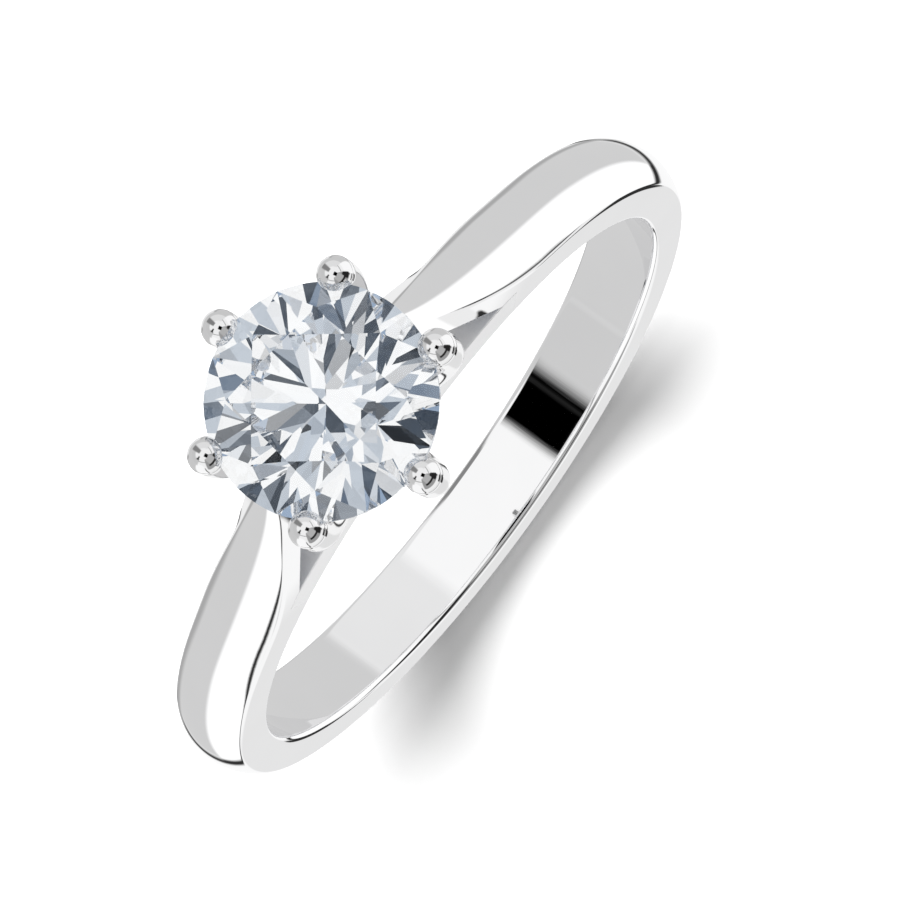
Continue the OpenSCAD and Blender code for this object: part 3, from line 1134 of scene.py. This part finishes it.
@dataclass(frozen=True)
class Studio:
    """Floor, soft lights, the surroundings that the metal mirrors, and the camera."""

    surroundings: tuple[Card | Panel, ...]
    stone_view: tuple[Card | Panel, ...]
    lights: tuple[SoftLight, ...]
    floor_half: float = 900.0
    tilt: float = 13.2
    lean: float = 2.014
    roll: float = 54.067
    distance: float = 400.0
    lens: float = 582.12
    aim_right: float = 0.5173
    aim_up: float = 0.1894
    bounces: int = 24

    def build_floor(self) -> None:
        """Lays the floor under the ring; mirrors see the surroundings in its place."""
        corners = self.floor_half * np.array([[-1, -1], [1, -1], [1, 1], [-1, 1]])
        points = np.column_stack([corners, np.full(4, FLOOR_Z)])
        floor = store("studio_floor", Skin(points, flat=[np.arange(4)[None]]))
        floor.data.materials.append(PaleFloor("matt_board").build())
        floor.visible_glossy = False
        floor.visible_transmission = False

    def paint(self, tree: Tree, items: tuple[Card | Panel, ...]) -> Socket:
        """Paints a picture of the studio by direction.

        Args:
            tree: Node tree of the world.
            items: Cards and panels, each laid over the ones before it and the first over white.

        Returns:
            The output of a Background shader.
        """
        place = add_node(tree, "TexCoord").outputs["Generated"]
        seen: Socket | tuple[float, ...] = (1.0, 1.0, 1.0, 1.0)
        for item in items:
            tone = (*[item.tone * part for part in item.tint], 1.0)
            values = {"Below": seen, "Tone": tone, "Direction": place} | item.values()
            group = bpy.data.node_groups[item.group]
            seen = add_node(tree, "Group", values, node_tree=group).outputs["Colour"]
        return add_node(tree, "Background", {"Color": seen}).outputs[0]

    def build_surroundings(self) -> None:
        """Hangs one picture for mirrors, a livelier one for light through the stone, and white."""
        world = bpy.data.worlds.new("studio")
        bpy.context.scene.world = world
        world.use_nodes = True
        world.cycles_visibility.diffuse = False
        world.cycles.sampling_method = "NONE"
        tree = world.node_tree
        tree.nodes.clear()
        card_group()
        panel_group()
        path = add_node(tree, "LightPath").outputs
        seen = self.paint(tree, self.surroundings)
        for ray, items in (("Is Transmission Ray", self.stone_view), ("Is Camera Ray", ())):
            choice = {0: path[ray], 1: seen, 2: self.paint(tree, items)}
            seen = add_node(tree, "MixShader", choice).outputs[0]
        add_node(tree, "OutputWorld", {"Surface": seen})

    def build_camera(self) -> None:
        """Sets up the camera above the stone, leaning towards the front of the ring."""
        tilt, lean, roll = np.radians([self.tilt, self.lean, self.roll])
        low = np.cos(lean)
        out = Vector((np.sin(lean), -low * np.sin(tilt), low * np.cos(tilt)))
        right = Vector((0.0, 1.0, 0.0)).cross(out).normalized()
        up = out.cross(right)
        across = right * np.cos(roll) - up * np.sin(roll)
        above = right * np.sin(roll) + up * np.cos(roll)
        lens = bpy.data.cameras.new("camera")
        lens.lens = self.lens
        lens.sensor_width = 36.0
        lens.clip_start, lens.clip_end = 0.01, 10.0
        camera = bpy.data.objects.new("camera", lens)
        place = out * self.distance + across * self.aim_right + above * self.aim_up
        turn = Matrix((across, above, out)).transposed().to_4x4()
        camera.matrix_world = Matrix.Translation(place * MM) @ turn
        bpy.context.scene.collection.objects.link(camera)
        bpy.context.scene.camera = camera

    def build(self) -> None:
        """Makes the whole studio."""
        scene = bpy.context.scene
        scene.view_settings.view_transform = "Standard"
        scene.cycles.max_bounces = self.bounces
        scene.cycles.glossy_bounces = self.bounces
        scene.cycles.transmission_bounces = self.bounces
        self.build_floor()
        for light in self.lights:
            light.build()
        self.build_surroundings()
        self.build_camera()


SURROUNDINGS = (
    # Board under the ring, in front of it, and the dark gap between the board and the tent
    Panel(265, half=50, low=-100, high=-60, tone=0.82, soft=8.0, corner=10),
    Panel(80, half=136, low=-68, high=8, tone=0.03, soft=1.5, corner=22),
    Panel(301, half=15, low=-72, high=-46, tone=0.03, soft=1.5, corner=4),
    Panel(308, half=18, low=-47, high=-28, tone=0.9, soft=2.0, corner=4),
    # Tent: white at the sides, light grey at the back, darker towards its seams
    Panel(82.5, half=129.5, low=-63.5, high=20, tone=1.1, soft=1.5, corner=20),
    Panel(88, half=83, low=-63.5, high=8, tone=0.66, soft=3.0, corner=3),
    Panel(91, half=33, low=-63.5, high=-25, tone=0.9, soft=3.0, corner=3),
    Panel(58, half=4, low=-70, high=-25, tone=0.42, soft=3.0, corner=3),
    Panel(124, half=5, low=-70, high=-25, tone=0.42, soft=4.0, corner=3),
    Panel(49, half=44, low=6, high=50, tone=0.84, soft=4.0, corner=3),
    Panel(135, half=42, low=6, high=38, tone=0.64, soft=4.0, corner=3),
    # Front of the tent: grey, with a dark edge at the right and a dark bar along it
    Panel(268, half=44, low=-24, high=60, tone=0.36, soft=3.0, corner=10),
    Panel(302, half=15, low=-20, high=32, tone=0.02, soft=3.0, corner=8),
    Card(268, 10, across=0.55, up=0.13, tone=0.02, soft=0.03),
    Card(270, 40, across=0.42, up=0.4, tone=0.5, soft=0.05),
    # Seams of the two overhead lights, the gap between them and the dark opening for the lens
    Card(338, 40, across=0.45, up=0.04, tone=0.35, soft=0.04),
    Card(202, 40, across=0.45, up=0.04, tone=0.35, soft=0.04),
    Card(90, 34, across=0.22, up=0.6, tone=0.25, soft=0.08),
    Card(282, 73, across=0.2, up=0.2, tone=0.0, soft=0.03),
    # Dark flag that only the inside of the band mirrors, soft towards the horizon
    Card(157, 53, across=0.08, up=0.175, tone=0.0, roll=18),
    Card(161, 43, across=0.15, up=0.08, tone=0.0, roll=18, soft=0.08),
)

COOL = (0.72, 0.95, 1.3)
PALE = (0.9, 0.98, 1.08)

STONE_VIEW = (
    # Pale grey boards behind the dark ones
    Panel(20, half=48, low=38, high=66, tone=0.6, soft=2.0, tint=PALE),
    Panel(185, half=40, low=46, high=74, tone=0.62, soft=2.0, tint=PALE),
    Panel(275, half=35, low=50, high=80, tone=0.55, soft=2.0, tint=PALE),
    Card(40, 82, across=0.12, up=0.1, tone=0.5, tint=PALE),
    # Dark opening for the lens and the frame round it
    Card(293, 67, across=0.17, up=0.11, tone=0.0, soft=0.02),
    Card(338, 67, across=0.12, up=0.11, tone=0.05, tint=COOL),
    Card(210, 77, across=0.1, up=0.08, tone=0.03, tint=COOL),
    Card(90, 77, across=0.12, up=0.07, tone=0.08, tint=COOL),
    Card(30, 72, across=0.08, up=0.1, tone=0.2, tint=COOL),
    # Tall grey boards between the lamps
    Card(67, 50, across=0.13, up=0.25, tone=0.05, tint=COOL),
    Card(248, 50, across=0.16, up=0.25, tone=0.06, tint=COOL),
    Card(293, 42, across=0.16, up=0.13, tone=0.15, tint=COOL),
    Card(203, 56, across=0.12, up=0.1, tone=0.1, tint=COOL),
    Card(120, 42, across=0.12, up=0.16, tone=0.25, tint=COOL),
    Card(10, 40, across=0.1, up=0.2, tone=0.2, tint=COOL),
    Panel(270, half=30, low=12, high=34, tone=0.06, tint=COOL),
    Panel(210, half=12, low=12, high=34, tone=0.15, tint=COOL),
    Panel(150, half=10, low=5, high=30, tone=0.2, tint=COOL),
    Panel(0, half=180, low=-90, high=-5, tone=0.4, soft=4.0, tint=COOL),
)

LIGHTS = (
    SoftLight("soft_back", azimuth=78, elevation=62, distance=0.6, size=0.75, power=9.0),
    SoftLight("soft_top", azimuth=90, elevation=88, distance=0.7, size=1.2, power=5.0),
)


def main() -> None:
    """Builds the ring and its studio in order."""
    logging.basicConfig(level=logging.INFO, format="%(name)s: %(message)s")
    polish = polish_group()
    metal = PolishedMetal("polished_white_gold").build(polish)
    satin = PolishedMetal("satin_white_gold", (0.93, 0.93, 0.935), (0.3, 0.38)).build(polish)
    # Painted shade: the seat, rail and claws take a darker copy of the polished white gold (0.86
    # against 0.94) to stand in for the grey shaded rims round the claw balls, with a rougher gloss.
    wire = PolishedMetal("shaded_head_white_gold", (0.86, 0.86, 0.865), (0.05, 0.08)).build(polish)
    crystal = BrilliantStone("clear_diamond").build()
    stone = Stone()
    Band().build(metal, satin)
    Head(stone).build(wire)
    stone.build(crystal)
    Studio(SURROUNDINGS, STONE_VIEW, LIGHTS).build()
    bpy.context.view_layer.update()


if __name__ == "__main__":
    main()
